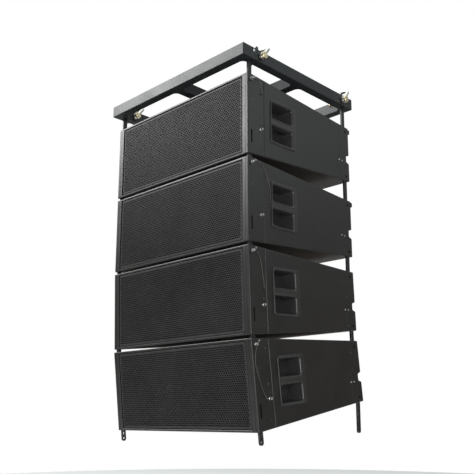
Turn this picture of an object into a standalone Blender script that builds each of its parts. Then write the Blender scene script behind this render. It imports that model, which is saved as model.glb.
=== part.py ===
"""Hanging line array: a fly frame with shackles over four cabinets that hinge on link bars and pins.

World frame: metres, X to the right of the array, Y to the rear, Z up, origin at the middle of the fly
frame's top face. A cabinet's own frame starts at the middle of its front top edge. Each cabinet hangs
from an empty on its front hinge line, and that empty is parented to the one of the cabinet above.
"""

import math

import bmesh
import bpy
from mathutils import Vector

# Array
SPLAY_DEG = (0.4, 0.0, 2.25, 4.5)
PITCH = 0.314
SIDES = {"left": -1, "right": 1}

# Cabinet shell
WIDTH = 0.760
HEIGHT = 0.305
DEPTH = 0.594
TAPER = 0.0375
SIDE_WALL = 0.030
WALL = 0.018
SLOPE = TAPER / DEPTH
RIM = 0.008
REBATE = 0.020
FRONT_RAIL = 0.084
REAR_RAIL = 0.530
SIDE_SEAM = 0.0012
SIDE_SEAM_DEEP = 0.0008
FACE_SEAM = (0.3574, 0.3600)
FACE_SEAM_DEEP = 0.0025
NOTCH_Y = 0.574
NOTCH_Z = (-0.187, -0.163)
NOTCH_MOUTH_Z = (-0.196, -0.155)
CLEAR = 0.0003
PAST = 0.001

# Grille and driver board
GRILLE_GAP = 0.002
GRILLE_SET_BACK = 0.002
GRILLE_DEPTH = 0.014
GRILLE_SHEET = 0.0018
BOARD_Y = 0.045
BOARD = 0.018
BOARD_GAP = 0.0006
WOOFER_X = 0.215
WOOFER_RADIUS = 0.127
WOOFER_HOLE = 0.110
HORN_HALF = 0.072
HORN_TALL_HALF = 0.113
HORN_DEPTH = 0.062
HORN_WALL = 0.005
HORN_LIP = 0.003
THROAT_HALF = 0.009
THROAT_TALL_HALF = 0.095
DRIVER_RADIUS = 0.052
DRIVER_LONG = 0.078

# Rigging, in the cabinet's frame
HINGE = Vector((0.0, 0.016, -0.022))
LINK_X = 0.370
LINK_THICK = 0.008
LINK_WIDE = 0.018
LINK_ROUND = 0.0085
CHANNEL_THICK = 0.009
FRONT_CHANNEL = (0.0035, 0.0285)
TOP_SOCKET = 0.038
FRONT_SLIDE_TOP = 0.145
SLIDE_SLOT_Y = (0.014, 0.022)
SLIDE_SLOT_Z = (-0.262, -0.205)
SLOT_ROUND = 0.0038
REAR_TOP_CHANNEL = (0.5505, 0.5855)
REAR_TOP_SOCKET = 0.150
REAR_PIVOT = Vector((0.0, 0.572, -0.250))
REAR_BOTTOM_CHANNEL = (0.557, 0.585)
REAR_BOTTOM_TOP = -0.228
FRONT_LINK_UP = 0.140
LINK_END = 0.011
REAR_LINK_DOWN = 0.133
REAR_LINK_UP = 0.009
REAR_LINK_HOLE_UP = 0.010
FRONT_LINK_SLOT = (0.012, 0.025)
SLOT_HALF = 0.004
PIN_HOLE = 0.005
REAR_LINK_HOLE = 0.0035
PIN_HOLE_LONG = 0.028
PIN_HOLE_INSIDE = 0.012
HANG_PIN_REAR = (0.570, -0.058)

# Handle, in the cabinet's frame
HANDLE_Y = (0.116, 0.256)
HANDLE_Z = (-0.235, -0.066)
CUP_Y = (0.118, 0.238)
CUP_Z = (-0.228, -0.0745)
CUP_X = 0.318
POCKET_Y = (0.121, 0.235)
UPPER_POCKET_Z = (-0.137, -0.078)
LOWER_POCKET_Z = (-0.225, -0.166)
HANDLE_RAISE = 0.0033
HANDLE_ROUND = 0.011
HANDLE_HOLE_ROUND = 0.009
CUP_ROUND = 0.008
CUP_WALL = 0.0025
POCKET_MOUTH = 0.006
GRIP_BACK = 0.357
GRIP_EDGE = 0.010

# Fly frame
FRAME_X = 0.780
FRAME_Y = 0.6472
BEAM_WIDE = 0.036
BEAM_TALL = 0.0457
FRAME_FRONT = -0.0334
FRAME_ABOVE = 0.0987
MID_BAR_HALF = 0.0175
CROSS_BAR = (0.271, 0.308)
CORNER_RADIUS = 0.018
HANGER_DOWN = 0.009
HANGER_TOP = -0.030
SHACKLE_HOLE = 0.0064

# Shackles
SHACKLE_X = 0.372
SHACKLE_Y = {"front": 0.056, "rear": 0.546}
SHACKLE_LEAN_DEG = {"front": 38.0, "rear": 34.0}
SHACKLE_DROP = 0.0247
BOW_BAR = 0.007
BOW_GAP = 0.0014
BOW_HALF = BEAM_WIDE / 2 + BOW_GAP + BOW_BAR
BOW_LEG = 0.042
BOW_FOOT = -0.002
EAR_RADIUS = 0.0135
EAR_THICK = 2 * BOW_BAR
BOLT_RADIUS = 0.0060
HEX_RADIUS = 0.0145
NUT_THICK = 0.007
BOLT_PAST_NUT = 0.004

# Connector plate
PLATE_X = 0.100
PLATE_Z = (-0.205, -0.099)
DISH_X = 0.080
DISH_Z = (-0.187, -0.117)
DISH_DEEP = 0.028
DISH_WALL = 0.003
DISH_HOLE_MARGIN = 0.004
PLATE_THICK = 0.003
SOCKET_X = 0.036

ROUND_STEPS = 20
SMALL_STEPS = 14

FRAME_TO_CABINET = Vector((0.0, -(FRAME_FRONT + FRAME_Y / 2), -FRAME_ABOVE))


def clear_scene():
    for old in list(bpy.data.objects):
        bpy.data.objects.remove(old, do_unlink=True)


def new_collection(name):
    made = bpy.data.collections.new(name)
    bpy.context.scene.collection.children.link(made)
    return made


def new_material(name, colour, roughness, metallic):
    made = bpy.data.materials.new(name)
    made.use_nodes = True
    shader = made.node_tree.nodes["Principled BSDF"]
    shader.inputs["Base Color"].default_value = (*colour, 1.0)
    shader.inputs["Roughness"].default_value = roughness
    shader.inputs["Metallic"].default_value = metallic
    made.diffuse_color = (*colour, 1.0)
    return made


clear_scene()
ARRAY = new_collection("line_array")
CUTTERS = new_collection("cutters")

PAINT = new_material("cabinet_paint", (0.020, 0.020, 0.022), 0.55, 0.0)
GRILLE_PAINT = new_material("grille_paint", (0.022, 0.022, 0.024), 0.50, 0.3)
FRAME_PAINT = new_material("frame_paint", (0.018, 0.018, 0.020), 0.45, 0.2)
HANDLE_PLASTIC = new_material("handle_plastic", (0.016, 0.016, 0.017), 0.60, 0.0)
BOARD_PAINT = new_material("board_paint", (0.012, 0.012, 0.012), 0.80, 0.0)
PLATE_PAINT = new_material("plate_paint", (0.020, 0.020, 0.021), 0.45, 0.0)
LINK_STEEL = new_material("link_steel", (0.030, 0.030, 0.032), 0.40, 0.6)
ZINC = new_material("zinc_steel", (0.60, 0.61, 0.62), 0.30, 1.0)
YELLOW_ZINC = new_material("yellow_zinc", (0.62, 0.50, 0.28), 0.30, 1.0)


# ---------------------------------------------------------------- shapes

def add_box(bm, x, y, z, rear_x=None, rear_z=None):
    """Box between (low, high) pairs; rear_x and rear_z give its rear face other pairs."""
    verts = bmesh.ops.create_cube(bm, size=1.0)["verts"]
    for vert in verts:
        rear = vert.co.y > 0
        wide = rear_x if rear and rear_x else x
        tall = rear_z if rear and rear_z else z
        vert.co = Vector((wide[vert.co.x > 0], y[rear], tall[vert.co.z > 0]))
    return verts


def add_round_box(bm, x, y, z, axis, radius, segments=4):
    """Box whose four edges along one axis are rounded."""
    verts = add_box(bm, x, y, z)
    edges = {edge for vert in verts for edge in vert.link_edges}
    along = [edge for edge in edges if abs(edge.verts[0].co[axis] - edge.verts[1].co[axis]) > 1e-6]
    bmesh.ops.bevel(bm, geom=along, offset=radius, segments=segments, affect="EDGES", profile=0.5)


def add_rod(bm, centre, along, length, radius, segments=ROUND_STEPS):
    """Closed cylinder round a point, along a direction."""
    turn = Vector((0, 0, 1)).rotation_difference(Vector(along)).to_matrix().to_4x4()
    turn.translation = centre
    bmesh.ops.create_cone(bm, cap_ends=True, segments=segments, radius1=radius, radius2=radius,
                          depth=length, matrix=turn)


def sided(side, low, high):
    """An X range on one side of the middle, lowest first."""
    return tuple(sorted((side * low, side * high)))


def finish(name, bm, material, home):
    mesh = bpy.data.meshes.new(name)
    bm.to_mesh(mesh)
    bm.free()
    mesh.materials.append(material)
    made = bpy.data.objects.new(name, mesh)
    home.objects.link(made)
    return made


def new_node(name, bm, material):
    return finish(name, bm, material, ARRAY)


def mark_cutter(obj):
    obj.hide_render = True
    obj.display_type = "WIRE"
    return obj


def place(obj, parent, at=(0.0, 0.0, 0.0)):
    """Stand an object at a point of the cabinet's frame, under the cabinet's hinge empty."""
    obj.parent = parent
    obj.location = Vector(at) - HINGE
    return obj


def combine(target, tool, operation):
    step = target.modifiers.new(tool.name, "BOOLEAN")
    step.operation = operation
    step.solver = "EXACT"
    step.object = tool


def cut(target, bm, label):
    """Take a shape, given in the target's own coordinates, away from the target."""
    apply_shape(target, bm, label, "DIFFERENCE")


def weld(target, bm, label):
    """Add a shape, given in the target's own coordinates, to the target."""
    apply_shape(target, bm, label, "UNION")


def apply_shape(target, bm, label, operation):
    tool = mark_cutter(finish(f"{target.name}_{label}", bm, target.data.materials[0], CUTTERS))
    tool.parent = target
    combine(target, tool, operation)


def turned(name, profile, material, home, steps=ROUND_STEPS):
    """Turned solid round its own Z, from (radius, height) points that run from top to bottom."""
    bm = bmesh.new()
    verts = [bm.verts.new((radius, 0.0, height)) for radius, height in profile]
    for pair in zip(verts, verts[1:]):
        bm.edges.new(pair)
    made = finish(name, bm, material, home)
    screw = made.modifiers.new("turn", "SCREW")
    screw.axis = "Z"
    screw.steps = steps
    screw.render_steps = steps
    screw.use_merge_vertices = True
    screw.merge_threshold = 0.00005
    screw.use_smooth_shade = True
    return made


# ---------------------------------------------------------------- cabinet

def tapered(y, inset):
    """Low and high Z of the cabinet's tapered section at a depth, moved in by an inset."""
    return (-HEIGHT + SLOPE * y + inset, -SLOPE * y - inset)


def make_shell(number, parent):
    bm = bmesh.new()
    half = WIDTH / 2
    add_box(bm, (-half, half), (0.0, DEPTH), tapered(0.0, 0.0), rear_z=tapered(DEPTH, 0.0))
    shell = place(new_node(f"cabinet_shell_{number}", bm, PAINT), parent)

    room = bmesh.new()
    inner = half - SIDE_WALL
    front = REBATE - PAST
    add_box(room, (-inner, inner), (front, DEPTH - WALL), tapered(front, WALL),
            rear_z=tapered(DEPTH - WALL, WALL))
    cut(shell, room, "room")

    rebate = bmesh.new()
    add_box(rebate, (-inner - PAST, inner + PAST), (-PAST, REBATE), (-HEIGHT + RIM, -RIM))
    cut(shell, rebate, "rebate")

    cut(shell, side_openings(), "openings")
    cut(shell, pin_holes(), "pin_holes")
    cut(shell, surface_grooves(), "grooves")


def side_openings():
    """Rigging channels, rear notches, handle holes and the connector plate's hole."""
    bm = bmesh.new()
    half = WIDTH / 2
    for side in SIDES.values():
        slot_x = sided(side, LINK_X - CHANNEL_THICK / 2, LINK_X + CHANNEL_THICK / 2)
        add_box(bm, slot_x, FRONT_CHANNEL, (-TOP_SOCKET, PAST))
        add_box(bm, slot_x, FRONT_CHANNEL, (-HEIGHT - PAST, -FRONT_SLIDE_TOP))
        add_box(bm, slot_x, REAR_TOP_CHANNEL, (-REAR_TOP_SOCKET, PAST))
        add_box(bm, slot_x, REAR_BOTTOM_CHANNEL, (-HEIGHT - PAST, REAR_BOTTOM_TOP))
        add_box(bm, sided(side, half - SIDE_WALL + 2 * PAST, half + PAST), (NOTCH_Y, DEPTH + PAST),
                NOTCH_Z, rear_z=NOTCH_MOUTH_Z)
        add_round_box(bm, sided(side, half - SIDE_WALL - PAST, half + PAST),
                      (CUP_Y[0] - PAST, CUP_Y[1] + PAST), (CUP_Z[0] - PAST, CUP_Z[1] + PAST),
                      0, HANDLE_HOLE_ROUND)
    add_box(bm, (-DISH_X - DISH_HOLE_MARGIN, DISH_X + DISH_HOLE_MARGIN),
            (DEPTH - WALL - PAST, DEPTH + PAST),
            (DISH_Z[0] - DISH_HOLE_MARGIN, DISH_Z[1] + DISH_HOLE_MARGIN))
    return bm


def pin_holes():
    """Hinge pin holes, the rear hang and pivot holes, and the front links' slots."""
    bm = bmesh.new()
    half = WIDTH / 2
    for side in SIDES.values():
        middle = side * (half - PIN_HOLE_INSIDE)
        for y, z in ((HINGE.y, HINGE.z), HANG_PIN_REAR, (REAR_PIVOT.y, REAR_PIVOT.z)):
            add_rod(bm, (middle, y, z), (1, 0, 0), PIN_HOLE_LONG, PIN_HOLE, SMALL_STEPS)
        add_round_box(bm, sided(side, LINK_X + CHANNEL_THICK / 2 - PAST, half + PAST),
                      SLIDE_SLOT_Y, SLIDE_SLOT_Z, 0, SLOT_ROUND, 3)
    return bm


def surface_grooves():
    """Seams of the rigging rails on the sides and beside the grille."""
    bm = bmesh.new()
    half = WIDTH / 2
    for side in SIDES.values():
        for y in (FRONT_RAIL, REAR_RAIL):
            add_box(bm, sided(side, half - SIDE_SEAM_DEEP, half + PAST), (y, y + SIDE_SEAM),
                    (-HEIGHT, 0.0))
        add_box(bm, sided(side, *FACE_SEAM), (-PAST, FACE_SEAM_DEEP), (-HEIGHT - PAST, PAST))
    return bm


def make_grille(number, parent):
    bm = bmesh.new()
    half = WIDTH / 2 - SIDE_WALL - 0.001
    z = (-HEIGHT + RIM + GRILLE_GAP, -RIM - GRILLE_GAP)
    add_box(bm, (-half, half), (GRILLE_SET_BACK, GRILLE_SET_BACK + GRILLE_DEPTH), z)
    grille = place(new_node(f"grille_{number}", bm, GRILLE_PAINT), parent)
    pan = bmesh.new()
    add_box(pan, (-half + GRILLE_SHEET, half - GRILLE_SHEET),
            (GRILLE_SET_BACK + GRILLE_SHEET, GRILLE_SET_BACK + GRILLE_DEPTH + PAST),
            (z[0] + GRILLE_SHEET, z[1] - GRILLE_SHEET))
    cut(grille, pan, "pan")


def woofer_profile():
    """Frame ring, surround, cone, dust cap, basket and magnet, from the front to the rear."""
    return [(0.0, -0.022), (0.026, -0.027), (0.030, -0.031), (0.098, -0.004), (0.104, 0.002),
            (WOOFER_HOLE, 0.0), (0.113, 0.004), (WOOFER_RADIUS, 0.004), (WOOFER_RADIUS, -0.001),
            (0.1145, -0.001), (0.1145, -0.022), (0.082, -0.062), (0.082, -0.098), (0.0, -0.098)]


def make_driver_board(number, parent):
    bm = bmesh.new()
    half = WIDTH / 2 - SIDE_WALL - BOARD_GAP
    low, high = tapered(BOARD_Y + BOARD, WALL + BOARD_GAP)
    add_box(bm, (-half, half), (BOARD_Y, BOARD_Y + BOARD), (low, high))
    board = place(new_node(f"driver_board_{number}", bm, BOARD_PAINT), parent)

    middle = -HEIGHT / 2
    holes = bmesh.new()
    for side in SIDES.values():
        add_rod(holes, (side * WOOFER_X, BOARD_Y + BOARD / 2, middle), (0, 1, 0), 3 * BOARD,
                WOOFER_HOLE)
    cut(board, holes, "woofer_holes")
    for label, side in SIDES.items():
        woofer = turned(f"{board.name}_woofer_{label}", woofer_profile(), BOARD_PAINT, CUTTERS)
        mark_cutter(woofer)
        woofer.parent = board
        woofer.location = (side * WOOFER_X, BOARD_Y, middle)
        woofer.rotation_euler.x = math.radians(90)
        combine(board, woofer, "UNION")

    horn = bmesh.new()
    wide = HORN_HALF + HORN_WALL
    tall = HORN_TALL_HALF + HORN_WALL
    add_box(horn, (-wide, wide), (BOARD_Y - HORN_LIP, BOARD_Y + HORN_DEPTH + HORN_WALL),
            (middle - tall, middle + tall))
    weld(board, horn, "horn")
    compression = bmesh.new()
    add_rod(compression, (0, BOARD_Y + HORN_DEPTH + DRIVER_LONG / 2, middle), (0, 1, 0), DRIVER_LONG,
            DRIVER_RADIUS)
    weld(board, compression, "compression_driver")
    flare = bmesh.new()
    add_box(flare, (-HORN_HALF, HORN_HALF), (BOARD_Y - HORN_LIP - PAST, BOARD_Y + HORN_DEPTH),
            (middle - HORN_TALL_HALF, middle + HORN_TALL_HALF), rear_x=(-THROAT_HALF, THROAT_HALF),
            rear_z=(middle - THROAT_TALL_HALF, middle + THROAT_TALL_HALF))
    cut(board, flare, "flare")


def make_connector_plate(number, parent):
    bm = bmesh.new()
    face = DEPTH + CLEAR
    add_box(bm, (-PLATE_X, PLATE_X), (face, face + PLATE_THICK), PLATE_Z)
    plate = place(new_node(f"connector_plate_{number}", bm, PLATE_PAINT), parent)
    back = bmesh.new()
    add_box(back, (-DISH_X - DISH_WALL, DISH_X + DISH_WALL), (face - DISH_DEEP - DISH_WALL, face + PAST),
            (DISH_Z[0] - DISH_WALL, DISH_Z[1] + DISH_WALL))
    weld(plate, back, "back")
    dish = bmesh.new()
    add_box(dish, (-DISH_X, DISH_X), (face - DISH_DEEP, face + PLATE_THICK + PAST), DISH_Z)
    cut(plate, dish, "dish")
    profile = [(0.0, 0.024), (0.0145, 0.024), (0.0165, 0.022), (0.0165, -0.001), (0.0, -0.001)]
    for label, side in SIDES.items():
        socket = turned(f"{plate.name}_socket_{label}", profile, PLATE_PAINT, CUTTERS, SMALL_STEPS)
        mark_cutter(socket)
        socket.parent = plate
        socket.location = (side * SOCKET_X, face - DISH_DEEP, sum(DISH_Z) / 2)
        socket.rotation_euler.x = math.radians(-90)
        combine(plate, socket, "UNION")


def make_handle(number, parent, label, side):
    half = WIDTH / 2
    bm = bmesh.new()
    add_round_box(bm, sided(side, half + CLEAR, half + HANDLE_RAISE), HANDLE_Y, HANDLE_Z, 0,
                  HANDLE_ROUND)
    handle = place(new_node(f"handle_{label}_{number}", bm, HANDLE_PLASTIC), parent)
    cup = bmesh.new()
    add_round_box(cup, sided(side, CUP_X, half + PAST), CUP_Y, CUP_Z, 0, CUP_ROUND)
    weld(handle, cup, "cup")
    pockets = bmesh.new()
    for pocket_z in (UPPER_POCKET_Z, LOWER_POCKET_Z):
        add_round_box(pockets, sided(side, CUP_X + CUP_WALL, half + POCKET_MOUTH), POCKET_Y, pocket_z,
                      0, CUP_ROUND)
    cut(handle, pockets, "pockets")
    behind = bmesh.new()
    add_box(behind, sided(side, CUP_X + CUP_WALL, GRIP_BACK), POCKET_Y,
            (LOWER_POCKET_Z[1] - GRIP_EDGE, UPPER_POCKET_Z[0] + GRIP_EDGE))
    cut(handle, behind, "behind_grip")


def link_bar(name, up, down):
    """Flat bar with round ends whose pin hole is at its origin."""
    bm = bmesh.new()
    add_round_box(bm, (-LINK_THICK / 2, LINK_THICK / 2), (-LINK_WIDE / 2, LINK_WIDE / 2), (-down, up),
                  0, LINK_ROUND, 5)
    return new_node(name, bm, LINK_STEEL)


def make_links(number, parent, label, side, rear_tilt):
    front = link_bar(f"front_link_{label}_{number}", FRONT_LINK_UP, LINK_END)
    place(front, parent, (side * LINK_X, HINGE.y, HINGE.z - PITCH))
    holes = bmesh.new()
    add_rod(holes, (0, 0, 0), (1, 0, 0), 2 * LINK_THICK, PIN_HOLE, SMALL_STEPS)
    add_round_box(holes, (-LINK_THICK, LINK_THICK), (-SLOT_HALF, SLOT_HALF), FRONT_LINK_SLOT, 0,
                  SLOT_ROUND, 3)
    cut(front, holes, "holes")

    rear = link_bar(f"rear_link_{label}_{number}", REAR_LINK_UP, REAR_LINK_DOWN)
    place(rear, parent, (side * LINK_X, REAR_PIVOT.y, REAR_PIVOT.z))
    rear.rotation_euler.x = rear_tilt
    holes = bmesh.new()
    for z in (0.0, -REAR_LINK_DOWN + REAR_LINK_HOLE_UP):
        add_rod(holes, (0, 0, z), (1, 0, 0), 2 * LINK_THICK, REAR_LINK_HOLE, SMALL_STEPS)
    cut(rear, holes, "holes")


def make_front_pin(number, parent, label, side):
    """Quick-release pin: button, grip and shaft, along X from the cabinet's side."""
    profile = [(0.0, 0.0160), (0.0040, 0.0154), (0.0051, 0.0130), (0.0051, 0.0108), (0.0037, 0.0098),
               (0.0037, 0.0062), (0.0068, 0.0055), (0.0068, CLEAR), (0.0045, CLEAR),
               (0.0045, -0.0240), (0.0030, -0.0255), (0.0, -0.0255)]
    pin = turned(f"front_pin_{label}_{number}", profile, ZINC, ARRAY, SMALL_STEPS)
    place(pin, parent, (side * WIDTH / 2, HINGE.y, HINGE.z))
    pin.rotation_euler.y = side * math.radians(90)


def make_cabinet(number, parent, tilt):
    make_shell(number, parent)
    make_grille(number, parent)
    make_driver_board(number, parent)
    make_connector_plate(number, parent)
    hangs_free = number == len(SPLAY_DEG)
    for label, side in SIDES.items():
        make_handle(number, parent, label, side)
        make_links(number, parent, label, side, -tilt if hangs_free else 0.0)
        make_front_pin(number, parent, label, side)


# ---------------------------------------------------------------- fly frame and shackles

def make_fly_frame(first_tilt):
    bm = bmesh.new()
    half_x = FRAME_X / 2
    half_y = FRAME_Y / 2
    add_box(bm, (-half_x, half_x), (-half_y, half_y), (-BEAM_TALL, 0.0))
    frame = new_node("fly_frame", bm, FRAME_PAINT)

    hangers = bmesh.new()
    rear_hang = Vector((0.0, *HANG_PIN_REAR))
    for side in SIDES.values():
        for spot in (HINGE, rear_hang):
            pin = on_frame(spot, first_tilt)
            add_round_box(hangers, sided(side, LINK_X - LINK_THICK / 2, LINK_X + LINK_THICK / 2),
                          (pin.y - LINK_WIDE / 2, pin.y + LINK_WIDE / 2),
                          (pin.z - HANGER_DOWN, HANGER_TOP), 0, LINK_ROUND, 5)
    weld(frame, hangers, "hangers")

    windows = bmesh.new()
    rows = ((-half_y + BEAM_WIDE, CROSS_BAR[0] + FRAME_TO_CABINET.y),
            (CROSS_BAR[1] + FRAME_TO_CABINET.y, half_y - BEAM_WIDE))
    for side in SIDES.values():
        for row in rows:
            add_round_box(windows, sided(side, MID_BAR_HALF, half_x - BEAM_WIDE), row,
                          (-BEAM_TALL - PAST, PAST), 2, CORNER_RADIUS)
    cut(frame, windows, "windows")

    holes = bmesh.new()
    for side in SIDES.values():
        for spot in (HINGE, rear_hang):
            pin = on_frame(spot, first_tilt)
            add_rod(holes, (side * LINK_X, pin.y, pin.z), (1, 0, 0), 2 * LINK_THICK, PIN_HOLE,
                    SMALL_STEPS)
        for y in SHACKLE_Y.values():
            add_rod(holes, (side * SHACKLE_X, y + FRAME_TO_CABINET.y, -SHACKLE_DROP), (1, 0, 0),
                    2 * BEAM_WIDE, SHACKLE_HOLE, SMALL_STEPS)
    cut(frame, holes, "holes")


def on_frame(spot, tilt):
    """World place of a point in the top cabinet's frame."""
    hinge = hinge_place(tilt)
    arm = Vector(spot) - HINGE
    return hinge + Vector((arm.x, arm.y * math.cos(tilt) - arm.z * math.sin(tilt),
                           arm.y * math.sin(tilt) + arm.z * math.cos(tilt)))


def hinge_place(tilt):
    """World place of the top cabinet's hinge line, its front top edge being level with the frame."""
    y = HINGE.y * math.cos(tilt) - HINGE.z * math.sin(tilt)
    z = HINGE.y * math.sin(tilt) + HINGE.z * math.cos(tilt)
    return FRAME_TO_CABINET + Vector((0.0, y, z))


def bow_curve(name):
    """Bent rod: straight legs that a half circle joins, open side down."""
    data = bpy.data.curves.new(name, "CURVE")
    data.dimensions = "3D"
    data.bevel_depth = BOW_BAR
    data.bevel_resolution = 2
    data.use_fill_caps = True
    arc = [math.radians(180 * step / 10) for step in range(11)]
    points = [(-BOW_HALF, BOW_FOOT)]
    points += [(-BOW_HALF * math.cos(turn), BOW_LEG + BOW_HALF * math.sin(turn)) for turn in arc]
    points.append((BOW_HALF, BOW_FOOT))
    spline = data.splines.new("POLY")
    spline.points.add(len(points) - 1)
    for point, (x, z) in zip(spline.points, points):
        point.co = (x, 0.0, z, 1.0)
    made = bpy.data.objects.new(name, data)
    ARRAY.objects.link(made)
    return made


def as_mesh(curve):
    """Closed mesh object in place of a curve object."""
    bpy.context.view_layer.update()
    name = curve.name
    seen = curve.evaluated_get(bpy.context.evaluated_depsgraph_get())
    mesh = bpy.data.meshes.new_from_object(seen)
    bm = bmesh.new()
    bm.from_mesh(mesh)
    bmesh.ops.remove_doubles(bm, verts=bm.verts, dist=0.00001)
    bmesh.ops.recalc_face_normals(bm, faces=bm.faces)
    bm.to_mesh(mesh)
    bm.free()
    mesh.materials.clear()
    mesh.materials.append(ZINC)
    placed = curve.matrix_world.copy()
    bpy.data.objects.remove(curve, do_unlink=True)
    made = bpy.data.objects.new(name, mesh)
    ARRAY.objects.link(made)
    made.matrix_world = placed
    return made


def make_shackle(row, label, side):
    centre = Vector((side * SHACKLE_X, SHACKLE_Y[row] + FRAME_TO_CABINET.y, -SHACKLE_DROP))
    bow = as_mesh(bow_curve(f"shackle_bow_{row}_{label}"))
    ears = bmesh.new()
    for end in (-1, 1):
        add_rod(ears, (end * BOW_HALF, 0, 0), (1, 0, 0), EAR_THICK, EAR_RADIUS, SMALL_STEPS)
    weld(bow, ears, "ears")
    eyes = bmesh.new()
    for end in (-1, 1):
        add_rod(eyes, (end * BOW_HALF, 0, 0), (1, 0, 0), 2 * EAR_THICK, SHACKLE_HOLE, SMALL_STEPS)
    cut(bow, eyes, "eyes")
    bow.location = centre
    bow.rotation_euler.x = -math.radians(SHACKLE_LEAN_DEG[row])

    outside = BOW_HALF + EAR_THICK / 2 + CLEAR
    bolt_end = outside + NUT_THICK + BOLT_PAST_NUT
    bm = bmesh.new()
    add_rod(bm, (0, 0, 0), (1, 0, 0), 2 * bolt_end, BOLT_RADIUS, SMALL_STEPS)
    pin = new_node(f"shackle_pin_{row}_{label}", bm, YELLOW_ZINC)
    heads = bmesh.new()
    for end in (-1, 1):
        add_rod(heads, (end * (outside + NUT_THICK / 2), 0, 0), (1, 0, 0), NUT_THICK, HEX_RADIUS, 6)
    weld(pin, heads, "heads")
    pin.location = centre


def build():
    tilt = math.radians(SPLAY_DEG[0])
    make_fly_frame(tilt)
    for row in SHACKLE_Y:
        for label, side in SIDES.items():
            make_shackle(row, label, side)
    above = None
    lean = 0.0
    for number, splay in enumerate(SPLAY_DEG, start=1):
        hinge = bpy.data.objects.new(f"hinge_line_{number}", None)
        ARRAY.objects.link(hinge)
        hinge.parent = above
        hinge.location = (0.0, 0.0, -PITCH) if above else hinge_place(tilt)
        hinge.rotation_euler.x = math.radians(splay)
        lean += math.radians(splay)
        make_cabinet(number, hinge, lean)
        above = hinge


build()
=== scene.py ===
"""Looks of the hanging line array: fly frame, shackles, four cabinets and their rigging.

A cabinet's own frame starts at the middle of its front top edge: X to the right, Y to the rear, Z up,
in metres. Every piece of a cabinet is built in that frame and then moved to where the CAD has it.
"""

from math import copysign, cos, pi, radians, sin

import bmesh
import bpy
from mathutils import Matrix, Vector


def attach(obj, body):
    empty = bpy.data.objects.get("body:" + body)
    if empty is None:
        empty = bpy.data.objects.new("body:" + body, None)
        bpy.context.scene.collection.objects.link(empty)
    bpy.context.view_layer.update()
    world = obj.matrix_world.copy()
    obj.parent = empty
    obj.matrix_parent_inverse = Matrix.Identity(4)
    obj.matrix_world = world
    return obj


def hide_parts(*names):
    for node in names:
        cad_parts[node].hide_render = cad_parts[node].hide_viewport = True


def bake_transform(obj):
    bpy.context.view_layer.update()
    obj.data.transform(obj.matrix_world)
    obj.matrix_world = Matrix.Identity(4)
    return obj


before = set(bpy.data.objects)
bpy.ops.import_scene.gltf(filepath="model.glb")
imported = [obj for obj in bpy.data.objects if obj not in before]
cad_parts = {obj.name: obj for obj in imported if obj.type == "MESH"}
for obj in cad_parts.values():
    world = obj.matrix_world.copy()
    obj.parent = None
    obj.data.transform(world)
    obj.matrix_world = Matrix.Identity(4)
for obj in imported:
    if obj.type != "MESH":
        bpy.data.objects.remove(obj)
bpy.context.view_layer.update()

# The CAD's own numbers
SPLAY_DEG = (0.4, 0.0, 2.25, 4.5)
PITCH = 0.314
SIDES = {"left": -1, "right": 1}
BOTH = tuple(SIDES.values())
HALF = 0.760 / 2
HEIGHT = 0.305
DEPTH = 0.594
TAPER = 0.0375
SLOPE = TAPER / DEPTH
SIDE_WALL = 0.030
WALL = 0.018
RIM = 0.008
REBATE = 0.020
FRONT_RAIL = 0.084
REAR_RAIL = 0.530
NOTCH_Y = 0.574
NOTCH_Z = (-0.187, -0.163)
NOTCH_MOUTH_Z = (-0.196, -0.155)
CLEAR = 0.0003
PAST = 0.001
GRILLE_Y = 0.002
GRILLE_DEPTH = 0.014
HINGE = Vector((0.0, 0.016, -0.022))
LINK_X = 0.370
LINK_THICK = 0.008
LINK_WIDE = 0.018
LINK_ROUND = 0.0085
CHANNEL_THICK = 0.009
FRONT_CHANNEL = (0.0035, 0.0285)
TOP_SOCKET = 0.038
FRONT_SLIDE_TOP = 0.145
REAR_TOP_CHANNEL = (0.5505, 0.5855)
REAR_TOP_SOCKET = 0.150
REAR_PIVOT = Vector((0.0, 0.572, -0.250))
REAR_BOTTOM_CHANNEL = (0.557, 0.585)
REAR_BOTTOM_TOP = -0.228
FRONT_LINK_UP = 0.140
LINK_END = 0.011
REAR_LINK_DOWN = 0.133
REAR_LINK_UP = 0.009
REAR_LINK_HOLE_UP = 0.010
REAR_LINK_HOLE = 0.0035
FRONT_LINK_SLOT = (0.012, 0.025)
SLOT_HALF = 0.004
LINK_SLOT_ROUND = 0.0038
PIN_HOLE = 0.005
PIN_HOLE_LONG = 0.028
PIN_HOLE_INSIDE = 0.012
HANG_PIN_REAR = (0.570, -0.058)
HANDLE_Y = (0.116, 0.256)
HANDLE_Z = (-0.235, -0.066)
CUP_Y = (0.118, 0.238)
CUP_Z = (-0.228, -0.0745)
CUP_X = 0.318
UPPER_POCKET_Z = (-0.137, -0.078)
LOWER_POCKET_Z = (-0.225, -0.166)
HANDLE_RAISE = 0.0033
HANDLE_ROUND = 0.011
HANDLE_HOLE_ROUND = 0.009
CUP_ROUND = 0.008
CUP_WALL = 0.0025
GRIP_BACK = 0.357
GRIP_EDGE = 0.010
FRAME_X = 0.780
FRAME_Y = 0.6472
BEAM_WIDE = 0.036
BEAM_TALL = 0.0457
MID_BAR_HALF = 0.0175
CROSS_BAR = (0.271, 0.308)
CORNER_RADIUS = 0.018
HANGER_DOWN = 0.009
HANGER_TOP = -0.030
SHACKLE_HOLE = 0.0064
SHACKLE_X = 0.372
SHACKLE_Y = {"front": 0.056, "rear": 0.546}
SHACKLE_LEAN_DEG = {"front": 38.0, "rear": 34.0}
SHACKLE_DROP = 0.0247
BOW_BAR = 0.007
BOW_GAP = 0.0014
BOW_HALF = BEAM_WIDE / 2 + BOW_GAP + BOW_BAR
BOW_LEG = 0.042
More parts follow.
